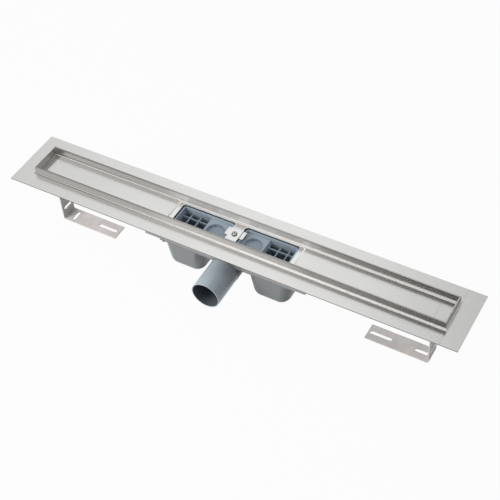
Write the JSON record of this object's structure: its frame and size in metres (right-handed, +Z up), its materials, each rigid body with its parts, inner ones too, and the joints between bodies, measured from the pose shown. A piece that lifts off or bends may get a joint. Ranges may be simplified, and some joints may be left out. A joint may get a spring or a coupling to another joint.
{
  "type": "linear shower drain",
  "caption": "Linear shower drain: flanged folded steel channel with raised rim, removable trap inserts in a windowed plate, moulded siphon bowls, side outlet and slotted feet",
  "frame": {"origin": "centre of the tiling flange, on its top face, level with the channel floor; the cover grate rests here inside the rim", "axes": "X runs along the channel, Z is up, and the outlet points to -Y"},
  "size_m": [0.813, 0.158, 0.1285],
  "materials": {
    "steel": "brushed",
    "plate_steel": "brushed",
    "pan_steel": "dull",
    "bracket_steel": "galvanised",
    "fastener_steel": "satin",
    "siphon_plastic": "satin",
    "pipe_plastic": "satin",
    "insert_plastic": "satin",
    "nut_plastic": "matt",
    "seal_rubber": "matt"
  },
  "bodies": {
    "root": {"channel_tray": "steel", "end_piece_left": "steel", "end_piece_right": "steel", "window_plate": "plate_steel", "sump_pan": "pan_steel", "siphon_body": "siphon_plastic", "outlet_pipe": "pipe_plastic", "siphon_gasket": "seal_rubber", "siphon_nuts": "nut_plastic", "window_seal_left": "seal_rubber", "window_seal_right": "seal_rubber", "trap_insert_left": "insert_plastic", "trap_insert_right": "insert_plastic", "clamp_plate": "plate_steel", "clamp_screw": "fastener_steel", "clamp_nut": "fastener_steel", "foot_bracket_left": "bracket_steel", "foot_bracket_right": "bracket_steel", "bracket_lug_left": "bracket_steel", "bracket_lug_right": "bracket_steel", "bracket_bolts": "fastener_steel", "bracket_nuts": "fastener_steel"}
  },
  "joints": []
}
